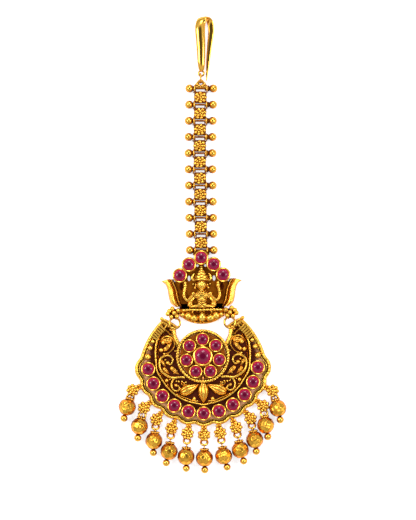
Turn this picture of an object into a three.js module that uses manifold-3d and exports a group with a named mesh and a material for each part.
// Maang tikka: a forehead jewel of gilded metal and round rubies, on a chain with a hair hook.
// It lies face up, as set down on a table. X runs to the right, Y towards the hook and Z up.
// Lengths are millimetres and angles are degrees.
import * as THREE from "three";
import { mergeVertices } from "three/addons/utils/BufferGeometryUtils.js";
import Module from "manifold-3d";

const wasm = await Module();
wasm.setup();

// Stones: domed rubies that sit in cups of thin metal
const borderStoneRadius = 1.6;
const petalStoneRadius = 1.5;
const centreStoneRadius = 2.2;
const archStoneRadius = 1.6;
const cupWall = 0.3;
const cupDepth = 0.9;
const stoneClearance = 0.1;
const domeShare = 0.5;

// Crescent: a scalloped plate with a raised rim, a ridge and two horns
const borderRadius = 15.65;
const borderCount = 11;
const borderStep = 15.8;
const scallopRadius = 3.8;
const crescentPlate = 1.1;
const rimWidth = 0.85;
const rimHeight = 0.9;
const ridgeGap = 0.48;
const ridgeWidth = 0.42;
const ridgeHeight = 0.8;
const ridgeSpan = 212;
const hornTipX = 11.06;
const hornTipY = 10.92;
const hornCapLength = 4.2;
const hornCapSlope = 30;
const hornBulge = 0.9;
const hornNeckX = 6.44;
const hornNeckY = 4.42;
const borderCupTop = 2.2;
const reliefSink = 0.3;

// Disc: a round plate inside the crescent with a raised rim and a rosette of eight stones
const discRadius = 7.48;
const discRise = 0.42;
const discPlate = 1.6;
const discRimWidth = 0.55;
const discRimHeight = 0.75;
const rosetteRadius = 4.72;
const rosetteCount = 7;
const rosetteCupTop = 2.8;
const centreCupTop = 3.1;

// Small flowers: lobed domes that stand for clusters of granules
const flowerLobes = 6;
const flowerNotch = 0.84;

// Edge flowers: soldered to the crescent's lower edge, each with a loop for its drop
const edgeFlowerRadius = 1.82;
const edgeFlowerReach = 2.19;
const edgeFlowerStep = 12.6;
const edgeFlowerBase = 1.7;
const edgeFlowerHeight = 1.4;
const edgeStemWidth = 1;
const loopPlace = 1.38;
const loopWidth = 0.7;
const loopWall = 0.24;
const loopSink = 0.16;

// Drops: a ring, a capped ball and a tip bead
const dropBallRadius = 2.44;
const dropCapRadius = 1.1;
const dropCapHeight = 0.4;
const dropReach = 6.47;
const tipBeadRadius = 1.02;
const tipReach = 3.28;
const dropRingRadius = 0.92;
const dropWire = 0.2;

// How each drop lies: its flower's nudge round the edge, its turn from straight down,
// its draw as a share of its full reach, and the turn of its tip bead
const dropPoses = [
  { nudge: -3, turn: -17.8, draw: 0.76, tipTurn: -16 },
  { nudge: 0, turn: -14, draw: 0.82, tipTurn: -8 },
  { nudge: 0, turn: -6.5, draw: 0.93, tipTurn: -3 },
  { nudge: 0.4, turn: -6, draw: 1, tipTurn: -14 },
  { nudge: 0.2, turn: -3.5, draw: 1, tipTurn: 1 },
  { nudge: 0, turn: 1, draw: 1, tipTurn: 1.5 },
  { nudge: -0.5, turn: 8.5, draw: 1, tipTurn: 17 },
  { nudge: -0.6, turn: 10.5, draw: 0.98, tipTurn: 17 },
  { nudge: -0.6, turn: 11, draw: 0.93, tipTurn: 8 },
  { nudge: 0, turn: 7, draw: 0.83, tipTurn: 11 },
  { nudge: 0.6, turn: 16.5, draw: 0.78, tipTurn: 12 },
];

// Top motif: an arch of five stones over a seated figure on a lotus base, between two leaves
const archTop = 28;
const archPitch = 3.95;
const archDrops = [29, 49];
const archCupTop = 2.5;
const motifPlate = 0.8;
const baseHalfWidth = 6.24;
const baseTop = 13.7;
const baseDepth = 4.2;
const baseEdge = 0.6;
const baseHeight = 2.4;
const leafHeight = 2.1;
const leafReach = 11.2;
const leafTop = 21.7;
const leafFoot = 14.4;
const headRadius = 1.35;
const headPlace = 20.65;
const figureHeight = 2.3;
const crownHeight = 1.3;
const bodyHeight = 1.7;
const limbHeight = 1.4;
const clusterX = 7.8;
const clusterY = 12.4;
const clusterRadius = 1.75;
const clusterBase = 2.9;
const clusterHeight = 1.2;

// Hanger rings: between the motif's clusters and the crescent's horns
const hangerX = 7.7;
const hangerY = 9.75;
const hangerRadius = 1.5;
const hangerHeight = 2.4;
const hangerHornPlace = -60;
const hangerMotifPlace = 90;

// Chain: links of one flower over a pair of edge-on rings with necked side balls
const linkCount = 10;
const linkPitch = 4.53;
const linkSpread = 1.71;
const linkPlateWidth = 4.4;
const linkPlateThickness = 0.45;
const linkMidHeight = 1.2;
const linkFlowerRadius = 1.88;
const linkFlowerPlace = 1.96;
const linkFlowerHeight = 0.85;
const linkRingRadius = 0.82;
const linkWire = 0.22;
const linkClearance = 0.12;
const tabWall = 0.285;
const sideBallRadius = 1.16;
const sideNeckRadius = 0.78;
const leftBallReach = 3.14;
const rightBallReach = 3.52;

// The chain's route: how far it strays sideways at shares of its length from the motif up
const chainRoute = [
  { share: 0, stray: 0 },
  { share: 0.25, stray: -0.2 },
  { share: 0.55, stray: -0.38 },
  { share: 0.75, stray: -0.32 },
  { share: 0.9, stray: -0.2 },
  { share: 1, stray: -0.1 },
];

// Hook: a bent strip of oval section that narrows towards both ends
const hookLength = 16.2;
const hookSpread = 3;
const hookWidth = 2.8;
const hookEndWidth = 1.4;
const hookTipWidth = 0.9;
const hookThickness = 0.9;
const hookFrontHeight = 2.5;
const hookBackHeight = 0.55;
const hookEase = 0.4;
const eyeRadius = 0.7;
const eyeWire = 0.26;
const jumpRingRadius = 1.25;
const jumpWire = 0.22;
const jumpRingHeight = 1.6;
const hookShift = 0.15;

// The hanging pieces lean a little, as the jewel was set down
const pendantLean = 0.92;

// Facets of the round forms
const beadSides = 10;
const beadRows = 4;
const linkSides = 10;
const linkWireSides = 5;
const arcSteps = 3;

const rad = THREE.MathUtils.degToRad;
const alongZ = new THREE.Vector3(0, 0, 1);
const alongX = new THREE.Vector3(1, 0, 0);

function materialOf(color, roughness, metalness) {
  return new THREE.MeshStandardMaterial({ color, roughness, metalness });
}

function goldMaterial() {
  return materialOf(0xd79a2b, 0.3, 1);
}

function rubyMaterial() {
  return materialOf(0xa00a46, 0.08, 0);
}

function toSolid(geometry) {
  const bare = geometry.clone();
  bare.deleteAttribute("normal");
  bare.deleteAttribute("uv");
  const merged = mergeVertices(bare, 1e-4);
  const corners = merged.index.array;
  const kept = [];
  for (let i = 0; i < corners.length; i += 3) {
    const [a, b, c] = corners.slice(i, i + 3);
    if (a !== b && b !== c && c !== a) {
      kept.push(a, b, c);
    }
  }
  const vertProperties = new Float32Array(merged.attributes.position.array);
  const triVerts = new Uint32Array(kept);
  return new wasm.Manifold(new wasm.Mesh({ numProp: 3, vertProperties, triVerts }));
}

function joinAll(geometries) {
  return geometries.map(toSolid).reduce((whole, piece) => whole.add(piece));
}

function cutAll(solid, geometries) {
  return geometries.map(toSolid).reduce((whole, piece) => whole.subtract(piece), solid);
}

function toGeometry(solid) {
  const { vertProperties, triVerts } = solid.getMesh();
  const geometry = new THREE.BufferGeometry();
  geometry.setAttribute("position", new THREE.BufferAttribute(vertProperties, 3));
  geometry.setIndex(new THREE.BufferAttribute(triVerts, 1));
  geometry.computeVertexNormals();
  return geometry;
}

function namedMesh(name, geometry, material) {
  const mesh = new THREE.Mesh(geometry, material);
  mesh.name = name;
  return mesh;
}

// A point at an angle and distance from the crescent's centre
function polar(radius, degrees) {
  return new THREE.Vector2(radius * Math.cos(rad(degrees)), radius * Math.sin(rad(degrees)));
}

function mirrored(points) {
  return points.map((p) => new THREE.Vector2(-p.x, p.y)).reverse();
}

// A flat plate of an outline, standing on a height
function slab(points, thickness, base, holes = []) {
  const shape = new THREE.Shape(points);
  shape.holes = holes.map((hole) => new THREE.Path(hole));
  const geometry = new THREE.ExtrudeGeometry(shape, { depth: thickness, bevelEnabled: false });
  return geometry.translate(0, 0, base);
}

function block(width, length, height, x, y, base) {
  return new THREE.BoxGeometry(width, length, height).translate(x, y, base + height / 2);
}

// A turned form: its profile runs from its foot up, as [radius, height] pairs, and it stands along Z
function turned(profile, sides) {
  const points = profile.map(([radius, height]) => new THREE.Vector2(radius, height));
  return new THREE.LatheGeometry(points, sides).rotateX(Math.PI / 2);
}

// A ring of round wire in the XY plane
function wireRing(radius, wire) {
  return new THREE.TorusGeometry(radius, wire, linkWireSides, linkSides);
}

// A lobed dome that stands for a cluster of granules round a middle one
function flower(radius, height) {
  const profile = [[0, 0], [radius, 0], [radius, height * 0.45], [0, height]];
  const geometry = turned(profile, flowerLobes * 2);
  const position = geometry.attributes.position;
  for (let i = 0; i < position.count; i++) {
    const fromSeam = Math.atan2(position.getY(i), position.getX(i)) + Math.PI / 2;
    const column = Math.round(fromSeam / (Math.PI / flowerLobes));
    const pull = Math.abs(column) % 2 === 1 ? flowerNotch : 1;
    position.setX(i, position.getX(i) * pull);
    position.setY(i, position.getY(i) * pull);
  }
  return geometry;
}

// A cup with a sharp lip and a round socket that narrows downwards, from a foot inside the plate
function stoneCup(stoneRadius, foot, lip) {
  const outer = stoneRadius + stoneClearance + cupWall;
  const floor = lip - cupDepth;
  const socket = stoneRadius + stoneClearance;
  return turned([[0, foot], [outer, foot], [outer, lip], [socket, floor], [0, floor]], linkSides);
}

// A domed stone that stands just clear of its cup's floor
function cabochon(stoneRadius, lip) {
  const foot = lip - cupDepth + stoneClearance;
  const rise = stoneRadius * domeShare;
  const profile = [[0, foot], [stoneRadius, foot], [stoneRadius * 0.82, lip + rise * 0.6], [0, lip + rise]];
  return toGeometry(toSolid(turned(profile, linkSides)));
}

// A bar of oval section along a curve, with half sizes given at each share of its length.
// Its width lies across the line and level, unless sideways names the direction that it follows.
function bar(curve, steps, sides, halfWidth, halfHeight, sideways) {
  const geometry = new THREE.CylinderGeometry(1, 1, 1, sides, steps);
  const position = geometry.attributes.position;
  for (let i = 0; i < position.count; i++) {
    const share = THREE.MathUtils.clamp(position.getY(i) + 0.5, 0, 1);
    const along = curve.getTangentAt(share);
    const across = new THREE.Vector3().crossVectors(along, alongZ);
    if (sideways) {
      across.copy(sideways).addScaledVector(along, -sideways.dot(along));
    }
    across.normalize();
    const up = new THREE.Vector3().crossVectors(across, along);
    const point = curve.getPointAt(share);
    point.addScaledVector(across, position.getX(i) * halfWidth(share));
    point.addScaledVector(up, position.getZ(i) * halfHeight(share));
    position.setXYZ(i, point.x, point.y, point.z);
  }
  return geometry;
}

function curveOf(points) {
  return new THREE.CatmullRomCurve3(points.map(([x, y, z]) => new THREE.Vector3(x, y, z)));
}

// The outline drawn in by a distance, corner by corner
function drawnIn(points, distance) {
  return points.map((point, i) => {
    const before = points[(i + points.length - 1) % points.length];
    const after = points[(i + 1) % points.length];
    const first = point.clone().sub(before).normalize();
    const second = after.clone().sub(point).normalize();
    const firstNormal = new THREE.Vector2(-first.y, first.x);
    const secondNormal = new THREE.Vector2(-second.y, second.x);
    const middle = firstNormal.clone().add(secondNormal).normalize();
    return point.clone().addScaledVector(middle, distance / middle.dot(firstNormal));
  });
}

// Angle of the place that border stone or edge flower number i has round the crescent
function spreadAngle(i, count, step) {
  return -90 + (i - (count - 1) / 2) * step;
}

// Horn corners on the right side: the cap's outer and inner ends
function hornCorners() {
  const tip = new THREE.Vector2(hornTipX, hornTipY);
  const inner = tip.clone().sub(polar(hornCapLength, hornCapSlope));
  return { tip, inner };
}

// Half of the crescent's outline, from the bottom scallop up the right side to the horn's neck
function rightOutline() {
  const half = borderStep / 2;
  const overlap = borderRadius * Math.sin(rad(half));
  const notchRadius = borderRadius * Math.cos(rad(half)) + Math.sqrt(scallopRadius ** 2 - overlap ** 2);
  const notch = polar(notchRadius, half);
  const sweep = THREE.MathUtils.radToDeg(Math.atan2(notch.y, notch.x - borderRadius));
  const points = [];
  const middle = (borderCount - 1) / 2;
  for (let i = middle; i < borderCount; i++) {
    const place = spreadAngle(i, borderCount, borderStep);
    const centre = polar(borderRadius, place);
    const start = i === middle ? place : place - sweep;
    const end = i === borderCount - 1 ? place + 65 : place + sweep;
    const steps = i === middle ? 2 : arcSteps;
    for (let k = i === middle ? 0 : 1; k <= steps; k++) {
      const angle = start + (end - start) * k / steps;
      points.push(centre.clone().add(polar(scallopRadius, angle)));
    }
  }
  const { tip, inner } = hornCorners();
  const neck = new THREE.Vector2(hornNeckX, hornNeckY);
  const root = points[points.length - 1];
  const outerMiddle = root.clone().lerp(tip, 0.5);
  const outward = new THREE.Vector2(tip.y - root.y, root.x - tip.x).normalize();
  outerMiddle.addScaledVector(outward, 2 * hornBulge);
  const outer = new THREE.QuadraticBezierCurve(root, outerMiddle, tip);
  const innerBend = new THREE.Vector2(inner.x + 0.3, (inner.y + neck.y) / 2 - 0.4);
  const inside = new THREE.QuadraticBezierCurve(inner, innerBend, neck);
  points.push(...outer.getPoints(arcSteps).slice(1));
  points.push(...inside.getPoints(arcSteps));
  return points;
}

function crescentOutline() {
  const right = rightOutline();
  return [...right, ...mirrored(right.slice(1))];
}

// A wall that follows part of a circle
function arcWall(radius, width, from, to, steps, height, base) {
  const points = [];
  for (let k = 0; k <= steps; k++) {
    points.push(polar(radius + width / 2, from + (to - from) * k / steps));
  }
  for (let k = steps; k >= 0; k--) {
    points.push(polar(radius - width / 2, from + (to - from) * k / steps));
  }
  return slab(points, height, base);
}

function roundPlate(radius, sides) {
  return Array.from({ length: sides }, (_, k) => polar(radius, k * 360 / sides));
}

// The ridge runs just inside the cups of the border stones
function ridgeRadius() {
  return borderRadius - borderStoneRadius - stoneClearance - cupWall - ridgeGap - ridgeWidth / 2;
}

// Raised scrollwork between the ridge and the disc: volutes, leaves and petals.
// Their places are shares of the ridge's radius, from the crescent's centre.
function crescentRelief() {
  const pieces = [];
  const scale = ridgeRadius();
  const place = (x, y) => [x * scale, y * scale, crescentPlate];
  const along = (points, side) => curveOf(points.map(([x, y]) => place(x * side, y)));
  const swell = (slim, full) => (t) => slim + (full - slim) * Math.sin(Math.PI * t);
  for (const side of [1, -1]) {
    const lowerScroll = along([[0.378, -0.455], [0.579, -0.455], [0.687, -0.594], [0.64, -0.748],
      [0.509, -0.748], [0.502, -0.633]], side);
    const innerScroll = along([[0.579, -0.424], [0.802, -0.37], [0.949, -0.162], [0.895, 0.015],
      [0.741, 0.046], [0.648, -0.069], [0.741, -0.123]], side);
    const hornLeaf = along([[0.841, 0.432], [0.687, 0.409], [0.648, 0.285], [0.725, 0.147],
      [0.864, 0.116]], side);
    const petal = along([[0.147, -0.625], [0.316, -0.679], [0.486, -0.764]], side);
    pieces.push(bar(lowerScroll, 7, 4, () => 0.32, () => 0.65));
    pieces.push(bar(innerScroll, 8, 4, () => 0.32, () => 0.65));
    pieces.push(bar(hornLeaf, 4, 4, swell(0.3, 0.95), () => 0.75));
    pieces.push(bar(petal, 4, 4, swell(0.3, 1.35), swell(0.4, 1)));
  }
  const middlePetal = along([[0, -0.532], [0, -0.756], [0, -0.972]], 1);
  pieces.push(bar(middlePetal, 4, 6, swell(0.3, 1.5), swell(0.5, 1.05)));
  return pieces;
}

function edgeFlowerAngle(i) {
  return spreadAngle(i, dropPoses.length, edgeFlowerStep) + dropPoses[i].nudge;
}

function edgeFlowerPlace() {
  return borderRadius + scallopRadius + edgeFlowerReach;
}

function edgeFlowerPoint(i) {
  return polar(edgeFlowerPlace(), edgeFlowerAngle(i));
}

// Turn that lays a piece's own -Y along a drop's direction
function dropHeading(turn) {
  return rad(turn - pendantLean);
}

// One edge flower: a stem from the rim, the flower, and behind it a loop for the drop's ring
function edgeFlower(i) {
  const place = edgeFlowerAngle(i);
  const point = edgeFlowerPoint(i);
  const heading = dropHeading(dropPoses[i].turn);
  const rootPlace = borderRadius + scallopRadius - 1.3;
  const stemLength = edgeFlowerPlace() - rootPlace;
  const stem = new THREE.BoxGeometry(stemLength, edgeStemWidth, edgeFlowerBase)
    .translate(rootPlace + stemLength / 2, 0, edgeFlowerBase / 2 + 0.3).rotateZ(rad(place));
  const head = flower(edgeFlowerRadius, edgeFlowerHeight).rotateZ(rad(place))
    .translate(point.x, point.y, edgeFlowerBase);
  const holeSize = loopHoleSize();
  const loopSize = holeSize + 2 * loopWall;
  const [loop, hole] = [[loopWidth, loopSize], [loopWidth * 3, holeSize]].map(([across, size]) => {
    const piece = new THREE.BoxGeometry(across, size, size);
    piece.translate(0, -loopPlace * drawOfLoop(i), loopHeight());
    return piece.rotateZ(heading).translate(point.x, point.y, 0);
  });
  return { solids: [stem, head, loop], hole };
}

// Slack drops hold their ring further under the flower
function drawOfLoop(i) {
  return 0.4 + 0.6 * dropPoses[i].draw;
}

function loopHoleSize() {
  return 2 * dropWire + 2 * linkClearance;
}

function loopHeight() {
  return edgeFlowerBase - loopSink - loopHoleSize() / 2;
}

// How drop i's ring lies: its slope from the loop and how far short of the ball's middle it ends
function ringLie(i) {
  let slope = 0;
  let gap = 0;
  for (let round = 0; round < 4; round++) {
    gap = dropReach * dropPoses[i].draw - loopPlace * drawOfLoop(i) - 2 * dropRingRadius * Math.cos(slope);
    const fall = gap < dropBallRadius ? Math.sqrt(dropBallRadius ** 2 - gap ** 2) : 0.1;
    const rise = (dropBallRadius - fall - loopHeight()) / (2 * dropRingRadius);
    slope = Math.asin(THREE.MathUtils.clamp(rise, -0.8, 0.8));
  }
  return { slope, gap };
}

// A staple that holds a flat ring: a block with a square hole along the ring's wire
function staple(centre, place, height, tall) {
  const hole = 2 * linkWire + 2 * linkClearance;
  const point = centre.clone().add(polar(hangerRadius, place));
  return [[loopWidth, hole + 2 * loopWall, tall], [loopWidth * 3, hole, hole]].map(([wide, deep, high]) => {
    const piece = new THREE.BoxGeometry(wide, deep, high);
    return piece.rotateZ(rad(place - 90)).translate(point.x, point.y, height);
  });
}

function hangerCentre() {
  return new THREE.Vector2(hangerX, hangerY);
}

// The mirror image of a geometry, with its faces turned to point out again
function mirrorX(geometry) {
  const flipped = geometry.index ? geometry.toNonIndexed() : geometry.clone();
  const position = flipped.attributes.position;
  for (let i = 0; i < position.count; i += 3) {
    const corners = [0, 1, 2].map((k) => new THREE.Vector3().fromBufferAttribute(position, i + k));
    corners.reverse().forEach((corner, k) => position.setXYZ(i + k, -corner.x, corner.y, corner.z));
  }
  return flipped;
}

function crescentSolid() {
  const outline = crescentOutline();
  const plate = slab(outline, crescentPlate + rimHeight, 0);
  const pocket = slab(drawnIn(outline, rimWidth), rimHeight + 1, crescentPlate);
  let solid = toSolid(plate).subtract(toSolid(pocket));
  const [ridgeStart, ridgeEnd] = [-90 - ridgeSpan / 2, -90 + ridgeSpan / 2];
  const ridge = arcWall(ridgeRadius(), ridgeWidth, ridgeStart, ridgeEnd, 13, ridgeHeight + reliefSink,
    crescentPlate - reliefSink);
  const disc = slab(roundPlate(discRadius, 20), discPlate + discRimHeight, 0).translate(0, discRise, 0);
  const discPocket = slab(roundPlate(discRadius - discRimWidth, 20), discRimHeight + 1, discPlate)
    .translate(0, discRise, 0);
  solid = solid.add(joinAll([ridge, ...crescentRelief()]));
  solid = solid.add(toSolid(disc).subtract(toSolid(discPocket)));
  const cups = [];
  for (let i = 0; i < borderCount; i++) {
    const point = polar(borderRadius, spreadAngle(i, borderCount, borderStep));
    const cup = stoneCup(borderStoneRadius, crescentPlate - reliefSink, borderCupTop);
    cups.push(cup.translate(point.x, point.y, 0));
  }
  for (let i = 0; i < rosetteCount; i++) {
    const point = polar(rosetteRadius, 90 + i * 360 / rosetteCount);
    const cup = stoneCup(petalStoneRadius, discPlate - reliefSink, rosetteCupTop);
    cups.push(cup.translate(point.x, point.y + discRise, 0));
  }
  cups.push(stoneCup(centreStoneRadius, discPlate - reliefSink, centreCupTop).translate(0, discRise, 0));
  solid = solid.add(joinAll(cups));
  const flowers = dropPoses.map((_, i) => edgeFlower(i));
  solid = solid.add(joinAll(flowers.flatMap((one) => one.solids)));
  solid = cutAll(solid, flowers.map((one) => one.hole));
  const stapleHeight = 2 * (loopHoleSize() + loopWall);
  const [foot, hole] = staple(hangerCentre(), hangerHornPlace, hangerHeight, stapleHeight);
  solid = solid.add(joinAll([foot, mirrorX(foot)]));
  return cutAll(solid, [hole, mirrorX(hole)]);
}

// One drop in the pendant's frame: its ring through the loop, its capped ball and its tip bead
function dropSolid(i) {
  const { turn, draw, tipTurn } = dropPoses[i];
  const heading = dropHeading(turn);
  const point = edgeFlowerPoint(i);
  const { slope, gap } = ringLie(i);
  const ballPlace = dropReach * draw;
  const height = dropBallRadius;
  const ring = wireRing(dropRingRadius, dropWire).rotateZ(Math.PI / 2).translate(0, -dropRingRadius, 0)
    .rotateX(-slope).translate(0, -loopPlace * drawOfLoop(i), loopHeight());
  const capFoot = Math.sqrt(dropBallRadius ** 2 - dropCapRadius ** 2);
  const capTop = capFoot + dropCapHeight;
  const knobTop = Math.max(capTop + 0.2, gap + 0.1);
  const profile = [[0, -dropBallRadius]];
  for (let k = 1; k < beadRows; k++) {
    const at = polar(dropBallRadius, -90 + 150 * k / beadRows);
    profile.push([at.x, at.y]);
  }
  profile.push([dropCapRadius, capFoot], [dropCapRadius * 0.85, capTop], [0, knobTop + 0.2]);
  const ball = turned(profile, beadSides).rotateX(-Math.PI / 2).translate(0, -ballPlace, height);
  const tip = new THREE.SphereGeometry(tipBeadRadius, beadSides, 3)
    .translate(0, -tipReach, 0).rotateZ(rad(tipTurn - turn)).translate(0, -ballPlace, height);
  return joinAll([ring, ball, tip].map((piece) => piece.rotateZ(heading).translate(point.x, point.y, 0)));
}

// Middles of the arch's five settings, from the left end over the top to the right end
function archPoints() {
  const right = [new THREE.Vector2(0, archTop)];
  for (const drop of archDrops) {
    right.push(right[right.length - 1].clone().add(polar(archPitch, -drop)));
  }
  return [...mirrored(right.slice(1)), ...right];
}

// A curled leaf beside the figure, drawn from its foot round its outer edge to its top
function leafOutline() {
  const height = leafTop - leafFoot;
  const at = (x, y) => new THREE.Vector2(leafReach * x, leafFoot + height * y);
  const outer = new THREE.CubicBezierCurve(at(0.56, 0), at(0.98, 0.08), at(0.74, 0.78), at(1, 0.97));
  const top = new THREE.QuadraticBezierCurve(at(1, 0.97), at(0.86, 1.03), at(0.7, 0.98));
  const inner = new THREE.QuadraticBezierCurve(at(0.62, 0.86), at(0.68, 0.4), at(0.47, 0.03));
  return [...outer.getPoints(5), ...top.getPoints(2).slice(1), ...inner.getPoints(3)];
}

// The lotus base: flat on top with a round bottom
function baseOutline() {
  const steps = 8;
  const points = [];
  for (let k = 0; k <= steps; k++) {
    const at = polar(1, 180 + 180 * k / steps);
    const y = baseTop - baseEdge + (baseDepth - baseEdge) * at.y;
    points.push(new THREE.Vector2(baseHalfWidth * at.x, y));
  }
  const topHalf = baseHalfWidth * 0.96;
  points.push(new THREE.Vector2(topHalf, baseTop), new THREE.Vector2(-topHalf, baseTop));
  return points;
}

// A low dome of oval plan, for a rounded form that stands on the motif's plate
function dome(x, y, halfWidth, halfLength, height) {
  const geometry = turned([[0, 0], [1, 0], [0.8, 0.6], [0, 1]], beadSides);
  return geometry.scale(halfWidth, halfLength, height).translate(x, y, motifPlate);
}

// The seated figure, kept to its broad forms: crown, head, shoulders, lap, arms with buds, and knees.
// Its places are shares of the base's half width across, and of the way from base to head up.
function figurePieces() {
  const place = (x, y) => [x * baseHalfWidth, THREE.MathUtils.lerp(baseTop, headPlace, y)];
  const head = new THREE.SphereGeometry(headRadius, beadSides, 5).translate(0, headPlace, figureHeight);
  const crownHalf = [[0.9, 0.45], [1.7, 1.93], [0.96, 3.1], [0, 3.85]];
  const crownOutline = [...crownHalf, ...crownHalf.slice(0, -1).reverse().map(([x, y]) => [-x, y])]
    .map(([x, y]) => new THREE.Vector2(x * headRadius, headPlace + y * headRadius));
  const crown = slab(crownOutline, crownHeight, motifPlate);
  const pieces = [head, crown];
  pieces.push(dome(...place(0, 0.525), 1.85 * headRadius, 1.4 * headRadius, bodyHeight));
  pieces.push(dome(...place(0, 0.158), 2.9 * headRadius, 0.8 * headRadius, limbHeight));
  for (const side of [1, -1]) {
    const arm = curveOf([[0.256, 0.604], [0.625, 0.36], [0.817, 0.647], [0.737, 0.935]]
      .map(([x, y]) => [...place(x * side, y), motifPlate + 0.46 * limbHeight]));
    pieces.push(bar(arm, 6, 4, () => 0.4 * headRadius, () => limbHeight / 2));
    pieces.push(dome(...place(0.737 * side, 0.978), 0.7 * headRadius, 0.7 * headRadius, limbHeight));
    pieces.push(dome(...place(0.529 * side, 0.216), 0.67 * headRadius, 0.9 * headRadius, bodyHeight));
  }
  return pieces;
}

// The cutter of a square hole for a ring's wire, through a link's plate
function plateHole(x, y) {
  const size = 2 * linkWire + 2 * linkClearance;
  return new THREE.BoxGeometry(size, size, linkPlateThickness + 0.26).translate(x, y, linkMidHeight);
}

function motifSolid() {
  const plateHalf = [[0.737, -0.035], [0.833, 0.266], [0.897, 0.622], [0.529, 0.832], [0, 0.972]]
    .map(([x, y]) => new THREE.Vector2(x * baseHalfWidth, THREE.MathUtils.lerp(baseTop, archTop, y)));
  const plateOutline = [...plateHalf, ...mirrored(plateHalf.slice(0, -1))];
  const pieces = [slab(plateOutline, motifPlate, 0)];
  for (const point of archPoints()) {
    pieces.push(stoneCup(archStoneRadius, 0, archCupTop).translate(point.x, point.y, 0));
  }
  const leaf = slab(leafOutline(), leafHeight, 0);
  pieces.push(leaf, mirrorX(leaf), slab(baseOutline(), baseHeight, 0), ...figurePieces());
  pieces.push(block(2 * leafReach * 0.56, 1.9, motifPlate, 0, baseTop + 0.45, 0));
  const tabWidth = 2 * (linkSpread + linkWire + linkClearance + tabWall);
  const plateBase = linkMidHeight - linkPlateThickness / 2;
  pieces.push(block(tabWidth, 1.1, linkPlateThickness, 0, tabHoleY(), plateBase));
  for (const side of [1, -1]) {
    pieces.push(flower(clusterRadius, clusterHeight).translate(clusterX * side, clusterY, clusterBase));
    const barStart = 0.737 * baseHalfWidth;
    const barEnd = clusterX + 0.3 * clusterRadius;
    const barFoot = clusterBase - 1;
    pieces.push(block(barEnd - barStart, 1.2, 1.2, (barEnd + barStart) / 2 * side, clusterY + 0.5, barFoot));
  }
  const stapleHeight = loopHoleSize() + 2 * loopWall + 0.14;
  const [foot, hole] = staple(hangerCentre(), hangerMotifPlace, hangerHeight, stapleHeight);
  pieces.push(foot, mirrorX(foot));
  const holes = [1, -1].map((side) => plateHole(linkSpread * side, tabHoleY()));
  holes.push(hole, mirrorX(hole));
  for (const side of [1, -1]) {
    for (const [x, y, radius] of [[0.38, 0.52, 0.084], [0.848, 1.443, 0.114]]) {
      const opening = new THREE.CylinderGeometry(radius * archPitch, radius * archPitch, 2 * archCupTop, 5);
      holes.push(opening.rotateX(Math.PI / 2).translate(x * archPitch * side, archTop - y * archPitch, 0));
    }
  }
  return cutAll(joinAll(pieces), holes);
}

// Height along the pendant of the holes that the last link's rings pass through
function tabHoleY() {
  return lastRowY() - linkRingRadius;
}

// The last pair of chain rings stands just above the top setting
function lastRowY() {
  return archTop + 2.1;
}

// A side ball along X with its neck, which ends in a block beside its link ring
function sideBall(reach, side) {
  const neckEnd = reach - linkPlateWidth / 2 - linkClearance;
  const profile = [[0, -sideBallRadius]];
  for (const angle of [-38, 24]) {
    const at = polar(sideBallRadius, angle);
    profile.push([at.x, at.y]);
  }
  profile.push([sideNeckRadius, neckEnd], [0, neckEnd]);
  return turned(profile, beadSides).rotateY(-Math.PI / 2 * side).translate(reach * side, 0, linkMidHeight);
}

// A pair of edge-on rings with their side balls, about the origin
function ringPair() {
  const pieces = [sideBall(rightBallReach, 1), sideBall(leftBallReach, -1)];
  for (const side of [1, -1]) {
    const ring = wireRing(linkRingRadius, linkWire).rotateY(Math.PI / 2);
    pieces.push(ring.translate(linkSpread * side, 0, linkMidHeight));
  }
  return pieces;
}

// The foot of a link's plate, right half: it holds the rings' upper arcs and reaches out into the necks
function plateFoot() {
  const foot = linkRingRadius - 0.25;
  const inner = linkSpread - linkWire;
  const reach = linkPlateWidth / 2 + linkClearance + 0.15;
  const shoulder = foot + linkWire * 2;
  return [[inner, foot], [inner, -0.1], [reach, -0.1], [reach, 0.6], [linkPlateWidth / 2, shoulder]];
}

// One chain link about its row of balls: a flower on a plate with two pierced ears,
// which hold the rings of the link above
function linkSolid() {
  const plateBase = linkMidHeight - linkPlateThickness / 2;
  const plateTop = linkMidHeight + linkPlateThickness / 2;
  const holeHalf = linkWire + linkClearance;
  const holePlace = linkPitch - linkRingRadius;
  const top = holePlace + holeHalf + 0.2;
  const notchFoot = linkFlowerPlace + linkFlowerRadius * 0.8;
  const [edge, notch] = [linkPlateWidth / 2, linkSpread - holeHalf - 0.15];
  const right = [...plateFoot(), [edge, top], [notch, top], [notch, notchFoot]]
    .map(([x, y]) => new THREE.Vector2(x, y));
  const plate = slab([...right, ...mirrored(right)], linkPlateThickness, plateBase);
  const head = flower(linkFlowerRadius, linkFlowerHeight).rotateZ(Math.PI / 2)
    .translate(0, linkFlowerPlace + 0.05, plateTop);
  const holes = [1, -1].map((side) => plateHole(linkSpread * side, holePlace));
  return cutAll(joinAll([plate, head, ...ringPair()]), holes);
}

// The top bail: a flat triangle of wire over the first pair of rings
function bailSolid() {
  const plateBase = linkMidHeight - linkPlateThickness / 2;
  const foot = linkRingRadius - 0.25;
  const right = [...plateFoot(), [0.4, bailHeight()]].map(([x, y]) => new THREE.Vector2(x, y));
  const windowHalf = linkSpread - 0.65;
  const window = [[-windowHalf, foot + 0.35], [windowHalf, foot + 0.35], [0, bailHeight() - 0.5]]
    .map(([x, y]) => new THREE.Vector2(x, y));
  const plate = slab([...right, ...mirrored(right)], linkPlateThickness, plateBase);
  return cutAll(joinAll([plate, ...ringPair()]), [slab(window, 2 * linkMidHeight, 0)]);
}

function bailHeight() {
  return 2.4;
}

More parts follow.
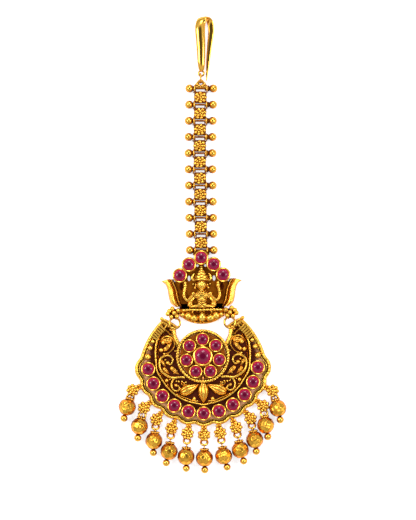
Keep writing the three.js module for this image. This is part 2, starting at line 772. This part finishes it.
// The hook about its eye's middle: up the broad front leg, over the bend and down the narrow back leg
function hookSolid() {
  const middle = (hookFrontHeight + hookBackHeight) / 2;
  const front = [[-0.073, 0.086], [-0.1, 0.207], [-0.127, 0.467], [-0.19, 0.726], [-0.12, 0.86]]
    .map(([x, y], i) => [x, y, i === 0 ? (jumpRingHeight + hookFrontHeight) / 2 : hookFrontHeight]);
  const [fall, rise] = [hookFrontHeight - hookEase, hookBackHeight + hookEase];
  const bend = [[0.04, 0.925, fall], [0.27, 0.955, middle], [0.5, 0.925, rise]];
  const back = [[0.7, 0.85], [0.813, 0.726], [0.7, 0.467], [0.6, 0.207], [0.487, -0.12]]
    .map(([x, y]) => [x, y, hookBackHeight]);
  const path = curveOf([[0, (eyeRadius + 0.1) / hookLength, jumpRingHeight], ...front, ...bend, ...back]
    .map(([x, y, z]) => [x * hookSpread, y * hookLength, z]));
  const widthAt = (t) => {
    const rising = THREE.MathUtils.lerp(hookEndWidth, hookWidth, Math.min(t / 0.3, 1));
    const falling = THREE.MathUtils.lerp(hookWidth, hookTipWidth, Math.max((t - 0.34) / 0.66, 0) ** 0.6);
    return Math.min(rising, falling) / 2;
  };
  const strip = bar(path, 18, 6, widthAt, () => hookThickness / 2, alongX);
  const eye = wireRing(eyeRadius, eyeWire).translate(0, 0, jumpRingHeight);
  return joinAll([strip, eye]);
}

// Sideways place of the chain at a share of its length
function strayAt(share) {
  const next = Math.max(1, chainRoute.findIndex((row) => row.share >= share));
  const [low, high] = [chainRoute[next - 1], chainRoute[next]];
  return THREE.MathUtils.mapLinear(share, low.share, high.share, low.stray, high.stray);
}

function linkName(i) {
  return `chain_link_${String(i).padStart(2, "0")}`;
}

// The pendant: crescent, drops, motif and hanger rings, all in one leaning frame
function pendantGroup() {
  const group = new THREE.Group();
  group.add(namedMesh("crescent", toGeometry(crescentSolid()), goldMaterial()));
  for (let i = 0; i < borderCount; i++) {
    const point = polar(borderRadius, spreadAngle(i, borderCount, borderStep));
    const name = `border_stone_${String(i + 1).padStart(2, "0")}`;
    const stone = namedMesh(name, cabochon(borderStoneRadius, borderCupTop), rubyMaterial());
    stone.position.set(point.x, point.y, 0);
    group.add(stone);
  }
  for (let i = 0; i < rosetteCount; i++) {
    const point = polar(rosetteRadius, 90 + i * 360 / rosetteCount);
    const shape = cabochon(petalStoneRadius, rosetteCupTop);
    const stone = namedMesh(`rosette_stone_${i + 1}`, shape, rubyMaterial());
    stone.position.set(point.x, point.y + discRise, 0);
    group.add(stone);
  }
  const centreShape = cabochon(centreStoneRadius, centreCupTop);
  const centre = namedMesh("rosette_stone_centre", centreShape, rubyMaterial());
  centre.position.set(0, discRise, 0);
  group.add(centre);
  dropPoses.forEach((_, i) => {
    const name = `drop_${String(i + 1).padStart(2, "0")}`;
    group.add(namedMesh(name, toGeometry(dropSolid(i)), goldMaterial()));
  });
  group.add(namedMesh("top_motif", toGeometry(motifSolid()), goldMaterial()));
  archPoints().forEach((point, i) => {
    const stone = namedMesh(`motif_stone_${i + 1}`, cabochon(archStoneRadius, archCupTop), rubyMaterial());
    stone.position.set(point.x, point.y, 0);
    group.add(stone);
  });
  for (const side of [1, -1]) {
    const ring = wireRing(hangerRadius, linkWire).translate(hangerX * side, hangerY, hangerHeight);
    group.add(namedMesh(side > 0 ? "hanger_ring_right" : "hanger_ring_left", ring, goldMaterial()));
  }
  group.rotation.z = rad(pendantLean);
  return group;
}

// The chain above the pendant, then the bail, the jump ring and the hook
function chainGroup() {
  const group = new THREE.Group();
  const link = toGeometry(linkSolid());
  for (let i = 0; i < linkCount; i++) {
    const mesh = namedMesh(linkName(linkCount - i), link.clone(), goldMaterial());
    mesh.position.set(strayAt(i / linkCount), i * linkPitch, 0);
    group.add(mesh);
  }
  const top = linkCount * linkPitch;
  const bail = namedMesh("top_bail", toGeometry(bailSolid()), goldMaterial());
  bail.position.set(strayAt(1), top, 0);
  const ringY = top + bailHeight() - 0.5 - linkClearance - jumpWire + jumpRingRadius;
  const ring = wireRing(jumpRingRadius, jumpWire).rotateY(Math.PI / 2).translate(0, 0, jumpRingHeight);
  const jumpRing = namedMesh("hook_ring", ring, goldMaterial());
  jumpRing.position.set(strayAt(1), ringY, 0);
  const hook = namedMesh("hook", toGeometry(hookSolid()), goldMaterial());
  const eyeY = ringY + jumpRingRadius + eyeRadius - eyeWire - jumpWire - linkClearance;
  hook.position.set(strayAt(1) + hookShift, eyeY, 0);
  group.add(bail, jumpRing, hook);
  const start = polar(lastRowY(), 90 + pendantLean);
  group.position.set(start.x, start.y, 0);
  return group;
}

// The whole jewel, set with the middle of its footprint at the origin
const tikka = new THREE.Group();
tikka.add(pendantGroup(), chainGroup());
tikka.updateMatrixWorld(true);
const bounds = new THREE.Box3().setFromObject(tikka, true);
const middle = bounds.getCenter(new THREE.Vector3());
tikka.position.set(-middle.x, -middle.y, -bounds.min.z);

export default tikka;
